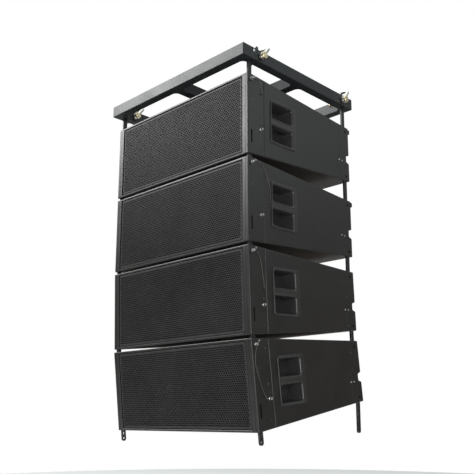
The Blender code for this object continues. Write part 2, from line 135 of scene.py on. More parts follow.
EAR_RADIUS = 0.0135
EAR_THICK = 2 * BOW_BAR
BOLT_RADIUS = 0.0060
HEX_RADIUS = 0.0145
NUT_THICK = 0.007
BOLT_PAST_NUT = 0.004
PLATE_X = 0.100
PLATE_Z = (-0.205, -0.099)
DISH_X = 0.080
DISH_Z = (-0.187, -0.117)
DISH_DEEP = 0.028
DISH_WALL = 0.003
DISH_HOLE_MARGIN = 0.004
PLATE_THICK = 0.003
SOCKET_X = 0.036
FRAME_TO_CABINET = Vector((0.0, -0.2902, -0.0987))

# Details that only the scene has, or that it draws finer than the CAD
SMALL_ROUND = 0.003
SOFT_EDGE = 0.0022
SHELL_EDGE = 0.0034
MOUTH_LIP = 0.0012
REBATE_ROUND = 0.002
FACE_SEAM = (0.3662, 0.3674)
FACE_SEAM_DEEP = 0.0012
SIDE_SEAM_HALF = 0.0013
SIDE_SEAM_DEEP = 0.0009
BEAD_HALF = 0.0034
BEAD_HIGH = 0.0028
BEAD_END = 0.0035
PANEL_SEAM_HALF = 0.0007
PANEL_SEAM_DEEP = 0.0008
PANEL_X = 0.300
PANEL_Z = (-0.240, -0.060)
SLIDE_SLOT_Y = (0.0144, 0.0216)
SLIDE_SLOT_Z = (-0.262, -0.213)
SLIDE_SLOT_ROUND = 0.0034
LINK_EDGE = 0.0009
# Depth into the pockets past which faces take the paler copy with painted light.
CUP_PAINTED_LIGHT_DEPTH = 0.005
MOUTH_RIM = 0.0013
RIM_Y = (0.1168, 0.2454)
RIM_GROWTH = 0.0084
RIM_ROUND = 0.0130
RIM_EDGE = 0.0015
GRIP_Y = (0.1225, 0.2240)
GRIP_ROUND = 0.002
WINDOW_FLARE = 0.0016
BOW_FOOT = -0.001
WASHER_THICK = 0.0016
STOP_AHEAD = 0.014
STOP_INSIDE = 0.0066
STOP_HEAD = 0.0084
STOP_HEAD_RADIUS = 0.0066
STOP_TIP = 0.0048
STUD_AHEAD = 0.034
STUD_DROP = 0.0110
HEX_CHAMFER = 0.0012

# Perforated sheet, its pan and the foam behind it
GRILLE_X = 0.3476
GRILLE_Z = (-0.295, -0.010)
HOLE_RADIUS = 0.0034
HOLE_PITCH = 0.0084
ROW_PITCH = 0.00727
HOLE_COLUMNS = 81
HOLE_ROWS = 37
HOLE_SIDES = 12
SHEET = 0.0015
PAN_BEND = 0.0026
PAN_ROUND = 0.004
PAN_STEPS = 4
FOAM_X = 0.3450
FOAM_INSET = 0.0026
FOAM_GAP = 0.0008
FOAM_THICK = 0.008
FOAM_EDGE = 0.0012

# A finger pocket from its floor out past its mouth: X, (Y), growth in Z, corner radius
POCKET = (
    (CUP_X + CUP_WALL, (0.1235, 0.2285), -0.0020, 0.007),
    (HALF - 0.018, (0.1215, 0.2315), -0.0008, 0.008),
    (HALF - 0.0060, (0.1212, 0.2332), -0.0004, 0.008),
    (HALF - 0.0022, (0.1210, 0.2342), 0.0, 0.008),
    (HALF + 0.0006, (0.1208, 0.2358), 0.0010, 0.0086),
    (HALF + 0.0026, (0.1200, 0.2382), 0.0026, 0.0095),
    (HALF + HANDLE_RAISE + MOUTH_RIM, (0.1190, 0.2420), 0.0050, 0.0110),
    (HALF + HANDLE_RAISE + 0.002 + MOUTH_RIM, (0.1190, 0.2420), 0.0050, 0.0110),
)

# Right hand rail details, as (Y, Z) on the cabinet's side
RIVETS = ((0.064, -0.037), (0.064, -0.155), (0.067, -0.183), (0.064, -0.272), (0.022, -0.100),
          (0.541, -0.080), (0.541, -0.140), (0.541, -0.252))
# Second top pin, mid pin, rear pin and its screw: (Y, Z), steps round, (radius, height) points
BRIGHT_HEADS = (
    ((0.0352, -0.0105), 20, ((0.0036, -0.0002), (0.0036, 0.0022), (0.0030, 0.0038), (0.0016, 0.0046),
                             (0.0004, 0.0048))),
    ((0.0650, -0.2020), 24, ((0.0052, -0.0002), (0.0052, 0.0014), (0.0044, 0.0022), (0.0043, 0.0085),
                             (0.0036, 0.0100), (0.0020, 0.0108), (0.0004, 0.0110))),
    ((0.5240, -0.1900), 20, ((0.0036, -0.0002), (0.0036, 0.0020), (0.0028, 0.0040), (0.0004, 0.0048))),
    ((0.5440, -0.1900), 20, ((0.0030, -0.0002), (0.0030, 0.0016), (0.0022, 0.0032), (0.0004, 0.0038))),
)

# Screws of the connector plate and the rear access panel
PLATE_SCREW_IN = 0.0075
PANEL_SCREW_X = (-0.285, -0.190, 0.190, 0.285)
PANEL_SCREW_Z = (-0.072, -0.228)

# Rear corner's T handled stop, and the cabinets that have it
KNOBBED = (1, 2)
KNOB_Z = (-0.0575, -0.0375)
KNOB_HALF = 0.0055
KNOB_ROUND = 0.0050

# Lanyards: routes down the right side, in a cabinet's frame, as (Y, Z) from the pin to the anchor
LANYARD_RADIUS = 0.0007
LANYARD_GAP = 0.0006
ANCHOR_OUT = 0.0026
ROUTES = {
    1: ((0.0262, -0.0210), (0.0440, -0.0150), (0.0610, -0.0220), (0.0675, -0.0420), (0.0685, -0.0640)),
    2: ((0.0262, -0.0200), (0.0440, -0.0125), (0.0752, -0.0240), (0.0907, -0.0477), (0.1010, -0.0740),
        (0.1095, -0.0967), (0.1110, -0.1200), (0.1110, -0.1510)),
    3: ((0.0262, -0.0220), (0.0440, -0.0300), (0.0560, -0.0500), (0.0600, -0.0716), (0.0660, -0.1100),
        (0.0690, -0.1470)),
    4: ((0.0150, -0.0340), (0.0110, -0.0560), (0.0100, -0.0850), (0.0190, -0.1250), (0.0300, -0.1618),
        (0.0430, -0.1910), (0.0545, -0.2100)),
}

# Camera, and the studio's lights: name, place, target, size, power, colour
LENS = 53.07
SHIFT = (-0.0303, 0.045)
CAMERA_PLACE = (1.9585, -1.9181, -1.2975)
CAMERA_UP_DEG = 12.876
CAMERA_TURN_DEG = 43.804
FLOOR_Z = -1.70
FLOOR_RADIUS = 3.2
WHITE = (1.0, 1.0, 1.0)
LIGHTS = (
    ("key", (-2.75, -2.30, 2.30), (0.0, -0.2, -0.3), (3.0, 2.6), 270.0, WHITE),
    ("top", (0.0, 0.3, 3.6), (0.0, 0.3, -1.4), (5.0, 5.0), 110.0, WHITE),
    ("near_fill", (2.75, -2.45, -1.05), (0.38, -0.1, -0.60), (1.2, 1.2), 68.0, WHITE),
    ("side_fill", (3.2, 1.8, 1.3), (0.2, 0.1, -0.6), (1.8, 1.8), 8.0, (0.92, 0.97, 1.0)),
)
# What lights the object, by share of the way up: its two ends first, then the stops between them
SKY = (
    (0.0, (0.235, 0.230, 0.225, 1)),
    (1.0, (0.54, 0.59, 0.61, 1)),
    (0.20, (0.130, 0.100, 0.074, 1)),
    (0.38, (0.228, 0.203, 0.172, 1)),
    (0.65, (0.42, 0.435, 0.44, 1)),
)
SKY_SPAN = (-0.35, 0.75)

BODIES = {1: "fly_frame_and_cabinet_1", 2: "cabinet_2", 3: "cabinet_3", 4: "cabinet_4"}


# ---- places

def hinge_lines():
    """World matrix of each cabinet's hinge line, from the top cabinet down."""
    tilt = radians(SPLAY_DEG[0])
    arm = Vector((0.0, HINGE.y * cos(tilt) - HINGE.z * sin(tilt),
                  HINGE.y * sin(tilt) + HINGE.z * cos(tilt)))
    place = Matrix.Translation(FRAME_TO_CABINET + arm) @ Matrix.Rotation(tilt, 4, "X")
    found = {1: place}
    for number, splay in enumerate(SPLAY_DEG[1:], start=2):
        place = place @ Matrix.Translation((0, 0, -PITCH)) @ Matrix.Rotation(radians(splay), 4, "X")
        found[number] = place
    return found


HINGES = hinge_lines()
CABINETS = {number: place @ Matrix.Translation(-HINGE) for number, place in HINGES.items()}
LAST = len(CABINETS)


# ---- materials

def grey(value):
    return (value, value, value)


def add(tree, kind, **settings):
    made = tree.nodes.new(kind)
    for key, value in settings.items():
        setattr(made, key, value)
    return made


def join(output, target):
    output.id_data.links.new(output, target)


def preset(node, **numbers):
    """Set sockets by name, an underscore in a name being a space."""
    for name, number in numbers.items():
        node.inputs[name.replace("_", " ")].default_value = number


def noise(tree, vector, scale, detail, rough):
    made = add(tree, "ShaderNodeTexNoise")
    preset(made, Scale=scale, Detail=detail, Roughness=rough)
    join(vector, made.inputs["Vector"])
    return made.outputs["Fac"]


def ranged(tree, value, low, high, to_low, to_high):
    made = add(tree, "ShaderNodeMapRange")
    preset(made, From_Min=low, From_Max=high, To_Min=to_low, To_Max=to_high)
    join(value, made.inputs["Value"])
    return made.outputs["Result"]


def sums(tree, operation, first, second):
    """Math node on two values, each a socket or a number."""
    made = add(tree, "ShaderNodeMath", operation=operation)
    for socket, value in zip(made.inputs, (first, second)):
        if isinstance(value, (int, float)):
            socket.default_value = value
        else:
            join(value, socket)
    return made.outputs[0]


def mixed(tree, factor, first, second):
    """Colour between two colours, each a socket or three numbers."""
    made = add(tree, "ShaderNodeMix", data_type="RGBA")
    join(factor, made.inputs["Factor"])
    for name, value in (("A", first), ("B", second)):
        socket = [s for s in made.inputs if s.name == name and s.type == "RGBA"][0]
        if isinstance(value, tuple):
            socket.default_value = (*value, 1.0)
        else:
            join(value, socket)
    return [s for s in made.outputs if s.type == "RGBA"][0]


def start_material(name, metallic, specular):
    made = bpy.data.materials.new(name)
    made.use_nodes = True
    tree = made.node_tree
    shader = tree.nodes["Principled BSDF"]
    preset(shader, Metallic=metallic, Specular_IOR_Level=specular)
    place = add(tree, "ShaderNodeTexCoord").outputs["Object"]
    shift = add(tree, "ShaderNodeVectorMath", operation="ADD")
    own = add(tree, "ShaderNodeObjectInfo").outputs["Random"]
    join(place, shift.inputs[0])
    join(own, shift.inputs[1])
    return made, tree, shader, shift.outputs[0]


def edge_mask(tree, radius, low, high):
    """1 along sharp convex and concave edges, 0 on flats."""
    soft = add(tree, "ShaderNodeBevel", samples=4)
    preset(soft, Radius=radius)
    flat = add(tree, "ShaderNodeNewGeometry")
    dot = add(tree, "ShaderNodeVectorMath", operation="DOT_PRODUCT")
    join(soft.outputs["Normal"], dot.inputs[0])
    join(flat.outputs["Normal"], dot.inputs[1])
    return ranged(tree, dot.outputs["Value"], high, low, 0.0, 1.0)


def bumped(tree, shader, height, strength, distance):
    bump = add(tree, "ShaderNodeBump")
    preset(bump, Strength=strength, Distance=distance)
    join(height, bump.inputs["Height"])
    join(bump.outputs["Normal"], shader.inputs["Normal"])


def coating(name, dark, light, worn_and_highlit, roughness, grain, relief, metallic=0.0, specular=0.5, wear_and_highlight=0.35):
    """Paint or moulding: mottled colour, uneven gloss, raised grain, and paler edges that are partly rubbed
    paint and partly a painted highlight.
    """
    made, tree, shader, place = start_material(name, metallic, specular)
    patches = noise(tree, place, 7.0, 4.0, 0.6)
    fine = noise(tree, place, grain, 2.0, 0.6)
    coarse = noise(tree, place, grain * 0.31, 2.0, 0.5)
    colour = mixed(tree, ranged(tree, patches, 0.30, 0.70, 0.0, 1.0), dark, light)
    dust = ranged(tree, noise(tree, place, 38.0, 5.0, 0.7), 0.52, 0.72, 0.0, 0.45)
    colour = mixed(tree, dust, colour, tuple(1.5 * part for part in light))
    # Paler edges: partly rubbed paint, partly a painted highlight along the edges.
    rub_and_highlight = sums(tree, "MULTIPLY", edge_mask(tree, 0.0022, 0.90, 0.995),
               ranged(tree, noise(tree, place, 60.0, 4.0, 0.7), 0.42, 0.62, 0.0, wear_and_highlight))
    join(mixed(tree, rub_and_highlight, colour, worn_and_highlit), shader.inputs["Base Color"])
    gloss = sums(tree, "ADD", ranged(tree, patches, 0.3, 0.7, roughness - 0.05, roughness + 0.05),
                 ranged(tree, fine, 0.3, 0.7, -0.05, 0.05))
    join(gloss, shader.inputs["Roughness"])
    bumped(tree, shader, sums(tree, "ADD", fine, sums(tree, "MULTIPLY", coarse, 0.6)), relief, 0.0006)
    return made


def plated(name, dark, light, roughness, stain):
    """Plated steel: faint crystal patches, fine rubbing and duller stains."""
    made, tree, shader, place = start_material(name, 1.0, 0.5)
    crystals = add(tree, "ShaderNodeTexVoronoi")
    preset(crystals, Scale=260.0)
    join(place, crystals.inputs["Vector"])
    patches = noise(tree, place, 90.0, 4.0, 0.65)
    streaks = noise(tree, place, 900.0, 2.0, 0.5)
    colour = mixed(tree, ranged(tree, crystals.outputs["Distance"], 0.0, 0.8, 0.0, 1.0), light, dark)
    colour = mixed(tree, ranged(tree, patches, 0.52, 0.75, 0.0, 0.8), colour, stain)
    join(colour, shader.inputs["Base Color"])
    gloss = sums(tree, "ADD", ranged(tree, patches, 0.3, 0.8, roughness - 0.06, roughness + 0.14),
                 ranged(tree, streaks, 0.3, 0.7, -0.04, 0.04))
    join(gloss, shader.inputs["Roughness"])
    bumped(tree, shader, streaks, 0.12, 0.0002)
    return made


def wire_rope(name):
    """Thin steel rope: strands that wind round it, as a diagonal ribbing, with painted shade in the grooves
    between them.
    """
    made, tree, shader, place = start_material(name, 0.8, 0.5)
    strands = add(tree, "ShaderNodeTexWave", bands_direction="DIAGONAL")
    preset(strands, Scale=420.0, Distortion=0.6)
    join(place, strands.inputs["Vector"])
    grime = noise(tree, place, 120.0, 3.0, 0.6)
    # Grooves between strands are darker than their crowns: painted shade, on the same pattern as the bump.
    colour = mixed(tree, strands.outputs["Fac"], (0.07, 0.07, 0.067), (0.25, 0.25, 0.235))
    colour = mixed(tree, ranged(tree, grime, 0.5, 0.8, 0.0, 0.7), colour, (0.16, 0.15, 0.14))
    join(colour, shader.inputs["Base Color"])
    join(ranged(tree, grime, 0.3, 0.7, 0.34, 0.50), shader.inputs["Roughness"])
    bumped(tree, shader, strands.outputs["Fac"], 0.5, 0.0003)
    return made


# Each coating's third colour is its paler edge colour: rubbed paint and a painted edge highlight.
PAINT = coating("cabinet_polyurea", grey(0.0062), (0.0100, 0.0097, 0.0094), (0.050, 0.048, 0.046), 0.39,
                620.0, 0.22)
GRILLE_COAT = coating("grille_powder_coat", (0.0290, 0.0290, 0.0300), (0.0390, 0.0390, 0.0400), grey(0.05),
                      0.42, 1400.0, 0.12, specular=0.09, wear_and_highlight=0.25)
FRAME_COAT = coating("frame_powder_coat", (0.0085, 0.0105, 0.0115), (0.0125, 0.0150, 0.0160), grey(0.07),
                     0.44, 1100.0, 0.16, specular=0.34, wear_and_highlight=0.5)
FRAME_PRIMER = coating("frame_primer", (0.0085, 0.0105, 0.0120), (0.0130, 0.0155, 0.0170), grey(0.04), 0.66,
                       900.0, 0.20, specular=0.27, wear_and_highlight=0.4)
NYLON = coating("handle_nylon", (0.0155, 0.0152, 0.0147), (0.0215, 0.0211, 0.0205), (0.060, 0.060, 0.061),
                0.38, 820.0, 0.20, specular=0.46)
# Paler, rougher copy of the handle moulding for the pockets' inner faces: painted light that lifts the shade
# in the pockets.
CUP_NYLON_PAINTED_LIGHT = coating("cup_nylon_painted_light", (0.0200, 0.0200, 0.0205), (0.0275, 0.0275, 0.0280), (0.050, 0.050, 0.051),
                    0.62, 700.0, 0.30, specular=0.30)
BOARD_BLACK = coating("board_black", grey(0.0040), grey(0.0060), grey(0.01), 0.85, 480.0, 0.35, specular=0.2)
FOAM = coating("open_cell_foam", grey(0.0016), grey(0.0030), grey(0.004), 0.94, 900.0, 0.9, specular=0.05)
PANEL_BLACK = coating("panel_moulding", (0.012, 0.012, 0.0125), (0.017, 0.017, 0.0175), grey(0.05), 0.38,
                      900.0, 0.15)
BLACK_STEEL = coating("black_zinc_steel", (0.016, 0.017, 0.018), (0.030, 0.031, 0.032), grey(0.28), 0.38,
                      700.0, 0.12, metallic=0.55, wear_and_highlight=0.7)
ZINC = plated("bright_zinc", (0.50, 0.50, 0.47), (0.72, 0.72, 0.68), 0.30, (0.42, 0.40, 0.35))
PIN_STEEL = plated("pin_steel", grey(0.22), grey(0.40), 0.34, (0.16, 0.16, 0.15))
YELLOW_ZINC = plated("yellow_zinc", (0.46, 0.41, 0.27), (0.68, 0.63, 0.46), 0.30, (0.33, 0.27, 0.16))
ROPE = wire_rope("lanyard_wire")
KNOB = coating("knob_plastic", grey(0.010), grey(0.014), grey(0.05), 0.35, 500.0, 0.10)


# ---- mesh tools

def outline(u, v, radius, steps=5):
    """Rounded rectangle between (low, high) pairs, as a loop of (u, v) points."""
    points = []
    corners = ((u[1], v[1], 0), (u[0], v[1], 90), (u[0], v[0], 180), (u[1], v[0], 270))
    for cu, cv, start in corners:
        mu = cu - copysign(radius, cu - (u[0] + u[1]) / 2)
        mv = cv - copysign(radius, cv - (v[0] + v[1]) / 2)
        for step in range(steps + 1):
            turn = radians(start + 90 * step / steps)
            points.append((mu + radius * cos(turn), mv + radius * sin(turn)))
    return points


def grown(pair, by):
    return (pair[0] - by, pair[1] + by)


def span(side, near, far):
    """Low and high X of a stretch on one side."""
    return sorted((side * near, side * far))


def at_depth(axis, depth, point):
    """Point from a depth along an axis and a (u, v) pair along the other two."""
    place = list(point)
    place.insert(axis, depth)
    return Vector(place)


def loft(bm, loops):
    """Closed solid through loops of equal length, capped at both ends."""
    rows = [[bm.verts.new(point) for point in loop] for loop in loops]
    count = len(rows[0])
    faces = []
    for first, second in zip(rows, rows[1:]):
        for i in range(count):
            j = (i + 1) % count
            faces.append(bm.faces.new((first[i], first[j], second[j], second[i])))
    faces.append(bm.faces.new(rows[0]))
    faces.append(bm.faces.new(rows[-1]))
    bmesh.ops.recalc_face_normals(bm, faces=faces)


def quarter(edge):
    """(depth, inset) pairs of a rounded edge, from its flat face to its side."""
    if not edge:
        return [(0.0, 0.0)]
    turns = [radians(90 * step / 3) for step in range(4)]
    return [(edge * (1 - cos(turn)), edge * (1 - sin(turn))) for turn in turns]


def slab(bm, axis, u, v, radius, low, high, low_edge=0.0, high_edge=0.0, steps=5):
    """Plate across an axis, with a rounded outline and rounded rims."""
    sections = [(low + d, inset) for d, inset in quarter(low_edge)]
    sections += [(high - d, inset) for d, inset in reversed(quarter(high_edge))]
    loops = []
    for depth, inset in sections:
        ring = outline(grown(u, -inset), grown(v, -inset), max(radius - inset, 0.0003), steps)
        loops.append([at_depth(axis, depth, point) for point in ring])
    loft(bm, loops)


def funnel(bm, axis, sections, steps=5):
    """Cutter through sections of (depth, u, v, radius)."""
    loft(bm, [[at_depth(axis, depth, point) for point in outline(u, v, radius, steps)]
              for depth, u, v, radius in sections])


def box(bm, x, y, z, rear_z=None):
    """Box between (low, high) pairs, with its own height at the rear if one is given."""
    for vert in bmesh.ops.create_cube(bm, size=1.0)["verts"]:
        rear = vert.co.y > 0
        tall = rear_z if rear and rear_z else z
        vert.co = Vector((x[vert.co.x > 0], y[rear], tall[vert.co.z > 0]))


def loop_round(corners, distance, centre, along):
    """Points at (radius, angle) corners round an axis, a distance along it from its centre."""
    turn = Vector((0, 0, 1)).rotation_difference(Vector(along)).to_matrix()
    return [Vector(centre) + turn @ Vector((radius * cos(angle), radius * sin(angle), distance))
            for radius, angle in corners]


def lathe(bm, profile, centre=(0, 0, 0), along=(0, 0, 1), steps=28):
    """Solid of revolution from (radius, distance) points, capped at both ends."""
    loft(bm, [loop_round([(radius, 2 * pi * step / steps) for step in range(steps)], distance, centre, along)
              for radius, distance in profile])


def rod(bm, centre, along, length, radius, steps=24, edge=0.0):
    """Round bar round a point; edge rounds its rims."""
    half = length / 2
    profile = [(radius - inset, -half + d) for d, inset in quarter(edge)]
    profile += [(radius - inset, half - d) for d, inset in reversed(quarter(edge))]
    lathe(bm, profile, centre, along, steps)


def hexagon(bm, centre, along, length, radius, turn_deg):
    """Nut or bolt head with chamfered corners."""
    half = length / 2
    loops = []
    for share, distance in ((0.90, -half), (1.0, -half + HEX_CHAMFER), (1.0, half - HEX_CHAMFER),
                            (0.90, half)):
        flat = cos(radians(30)) * min(1.0, share + 0.05)
        corners = [(radius * (flat if step % 2 else share), radians(30 * step + turn_deg))
                   for step in range(12)]
        loops.append(loop_round(corners, distance, centre, along))
    loft(bm, loops)


def tube(bm, points, radius, sides=8):
    """Round bar along a line of points, capped at both ends."""
    points = [Vector(point) for point in points]
    frames = []
    across = None
    for i, point in enumerate(points):
        ahead = (points[min(i + 1, len(points) - 1)] - points[max(i - 1, 0)]).normalized()
        if across is None:
            across = ahead.orthogonal().normalized()
        across = (across - ahead * across.dot(ahead)).normalized()
        frames.append((point, across, ahead.cross(across)))
    loops = []
    for point, u, v in frames:
        loops.append([point + radius * (u * cos(2 * pi * k / sides)
                                        + v * sin(2 * pi * k / sides)) for k in range(sides)])
    loft(bm, loops)


def smooth_line(points):
    """Points about 4 mm apart along a smooth curve through the given ones, and the curve's length."""
    points = [Vector(point) for point in points]
    ends = [2 * points[0] - points[1], *points, 2 * points[-1] - points[-2]]
    fine = []
    for a, b, c, d in zip(ends, ends[1:], ends[2:], ends[3:]):
        for step in range(24):
            t = step / 24
            fine.append(0.5 * (2 * b + (c - a) * t + (2 * a - 5 * b + 4 * c - d) * t ** 2
                               + (3 * b - a - 3 * c + d) * t ** 3))
    fine.append(points[-1])
    total = sum((q - p).length for p, q in zip(fine, fine[1:]))
    count = max(14, round(total / 0.004))
    even = [fine[0]]
    walked = 0.0
    for p, q in zip(fine, fine[1:]):
        step = (q - p).length
        while len(even) < count and walked + step >= len(even) * total / count:
            share = (len(even) * total / count - walked) / step
            even.append(p.lerp(q, share))
        walked += step
    even.append(fine[-1])
    return even, sum((q - p).length for p, q in zip(even, even[1:]))


def new_object(name, data):
    made = bpy.data.objects.new(name, data)
    bpy.context.scene.collection.objects.link(made)
    return made


def carve(bm, steps=()):
    """Mesh of a shape after its unions and cuts, each ("UNION" or "DIFFERENCE", shape)."""
    made = []

    def stand(shape):
        mesh = bpy.data.meshes.new("carved")
        shape.to_mesh(mesh)
        shape.free()
        made.append(new_object("carved", mesh))
        return made[-1]

    target = stand(bm)
    for operation, shape in steps:
        change = target.modifiers.new("step", "BOOLEAN")
        change.operation = operation
        change.solver = "EXACT"
        change.object = stand(shape)
    bpy.context.view_layer.update()
    seen = target.evaluated_get(bpy.context.evaluated_depsgraph_get())
    mesh = bpy.data.meshes.new_from_object(seen)
    for obj in made:
        data = obj.data
        bpy.data.objects.remove(obj, do_unlink=True)
        bpy.data.meshes.remove(data)
    return mesh


def dressed(mesh, name, material, angle_deg=38.0):
    """Mesh with one material and smooth shading that breaks at sharp edges."""
    mesh.name = name
    mesh.materials.clear()
    mesh.materials.append(material)
    mesh.shade_smooth()
    mesh.set_sharp_from_angle(angle=radians(angle_deg))
    return mesh


def mirrored(mesh):
    """The same piece for the other side of the cabinet."""
    other = mesh.copy()
    bm = bmesh.new()
    bm.from_mesh(other)
    bmesh.ops.transform(bm, matrix=Matrix.Diagonal((-1, 1, 1, 1)), verts=bm.verts)
    bmesh.ops.reverse_faces(bm, faces=bm.faces)
    bm.to_mesh(other)
    bm.free()
    return other


def piece(name, mesh, place, body, slot, *nodes):
    """Put a mesh in the scene on a body, in place of the CAD nodes named."""
    made = new_object(name, mesh)
    made.matrix_world = place
    weighted = made.modifiers.new("normals", "WEIGHTED_NORMAL")
    weighted.keep_sharp = True
    if nodes:
        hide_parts(*nodes)
    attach(made, body)


def pair(mesh):
    """A right hand mesh and its mirror, by side."""
    return {"right": mesh, "left": mirrored(mesh)}


# ---- cabinet shell

def tapered(y, inset):
    """Low and high Z of the tapered section at a depth, moved in by an inset."""
    return (-HEIGHT + SLOPE * y + inset, -SLOPE * y - inset)


def shell_mesh():
    """Tapered shell with its room, mouth, channels, pin holes, seams and rail beads."""
    bm = bmesh.new()
    box(bm, (-HALF, HALF), (0.0, DEPTH), tapered(0.0, 0.0), tapered(DEPTH, 0.0))
    bmesh.ops.bevel(bm, geom=bm.edges[:], offset=SHELL_EDGE, segments=3, affect="EDGES", profile=0.5)

    inner = HALF - SIDE_WALL
    room = bmesh.new()
    box(room, (-inner, inner), (REBATE - PAST, DEPTH - WALL), tapered(REBATE - PAST, WALL),
        tapered(DEPTH - WALL, WALL))

    rebate = bmesh.new()
    opening = (-inner - PAST, inner + PAST)
    tall = (-HEIGHT + RIM, -RIM)
    mouth = (grown(opening, MOUTH_LIP), grown(tall, MOUTH_LIP), SMALL_ROUND)
    funnel(rebate, 1, [(-PAST, *mouth), (0.0, *mouth), (MOUTH_LIP, opening, tall, REBATE_ROUND),
                       (REBATE, opening, tall, REBATE_ROUND)])

    openings = bmesh.new()
    for side in BOTH:
        slot_x = span(side, LINK_X - CHANNEL_THICK / 2, LINK_X + CHANNEL_THICK / 2)
        box(openings, slot_x, FRONT_CHANNEL, (-TOP_SOCKET, PAST))
        box(openings, slot_x, FRONT_CHANNEL, (-HEIGHT - PAST, -FRONT_SLIDE_TOP))
        box(openings, slot_x, REAR_TOP_CHANNEL, (-REAR_TOP_SOCKET, PAST))
        box(openings, slot_x, REAR_BOTTOM_CHANNEL, (-HEIGHT - PAST, REAR_BOTTOM_TOP))
        box(openings, span(side, inner + 2 * PAST, HALF + PAST), (NOTCH_Y, DEPTH + PAST), NOTCH_Z,
            NOTCH_MOUTH_Z)
        slab(openings, 0, grown(CUP_Y, PAST), grown(CUP_Z, PAST), HANDLE_HOLE_ROUND,
             *span(side, inner - PAST, HALF + PAST))
    slab(openings, 1, grown((-DISH_X, DISH_X), DISH_HOLE_MARGIN), grown(DISH_Z, DISH_HOLE_MARGIN),
         SMALL_ROUND, DEPTH - WALL - PAST, DEPTH + PAST)

    holes = bmesh.new()
    for side in BOTH:
        for y, z in ((HINGE.y, HINGE.z), HANG_PIN_REAR, (REAR_PIVOT.y, REAR_PIVOT.z)):
            rod(holes, (side * (HALF - PIN_HOLE_INSIDE), y, z), (1, 0, 0), PIN_HOLE_LONG, PIN_HOLE, 20)
        slab(holes, 0, SLIDE_SLOT_Y, SLIDE_SLOT_Z, SLIDE_SLOT_ROUND,
             *span(side, LINK_X + CHANNEL_THICK / 2 - PAST, HALF + PAST))

    beads = bmesh.new()
    grooves = bmesh.new()
    bead = []
    for step in range(7):
        turn = radians(180 * step / 6)
        bead.append((HALF - PAST + BEAD_HIGH * sin(turn), FRONT_RAIL - BEAD_HALF * cos(turn)))
    vee = ((HALF - SIDE_SEAM_DEEP, REAR_RAIL), (HALF + PAST, REAR_RAIL - 2 * SIDE_SEAM_HALF),
           (HALF + PAST, REAR_RAIL + 2 * SIDE_SEAM_HALF))
    for side in BOTH:
        for shape, section, heights in ((beads, bead, tapered(FRONT_RAIL, BEAD_END)),
                                        (grooves, vee, (-HEIGHT - PAST, PAST))):
            loft(shape, [[Vector((side * x, y, z)) for x, y in section] for z in heights])
        box(grooves, span(side, *FACE_SEAM), (-PAST, FACE_SEAM_DEEP), (-HEIGHT - PAST, PAST))

    # Cutters that cross are kept apart, because a shape that cuts itself breaks the boolean.
    panel_y = (DEPTH - PANEL_SEAM_DEEP, DEPTH + PAST)
    across = bmesh.new()
    for z in PANEL_Z:
        box(across, (-PANEL_X, PANEL_X), panel_y, grown((z, z), PANEL_SEAM_HALF))
    upright = bmesh.new()
    for x in (-PANEL_X, PANEL_X):
        box(upright, grown((x, x), PANEL_SEAM_HALF), panel_y, grown(PANEL_Z, PANEL_SEAM_HALF))
    steps = [("UNION", beads)]
    steps += [("DIFFERENCE", shape) for shape in (room, rebate, openings, holes, grooves, across, upright)]
    return dressed(carve(bm, steps), "shell", PAINT)


# ---- perforated grille

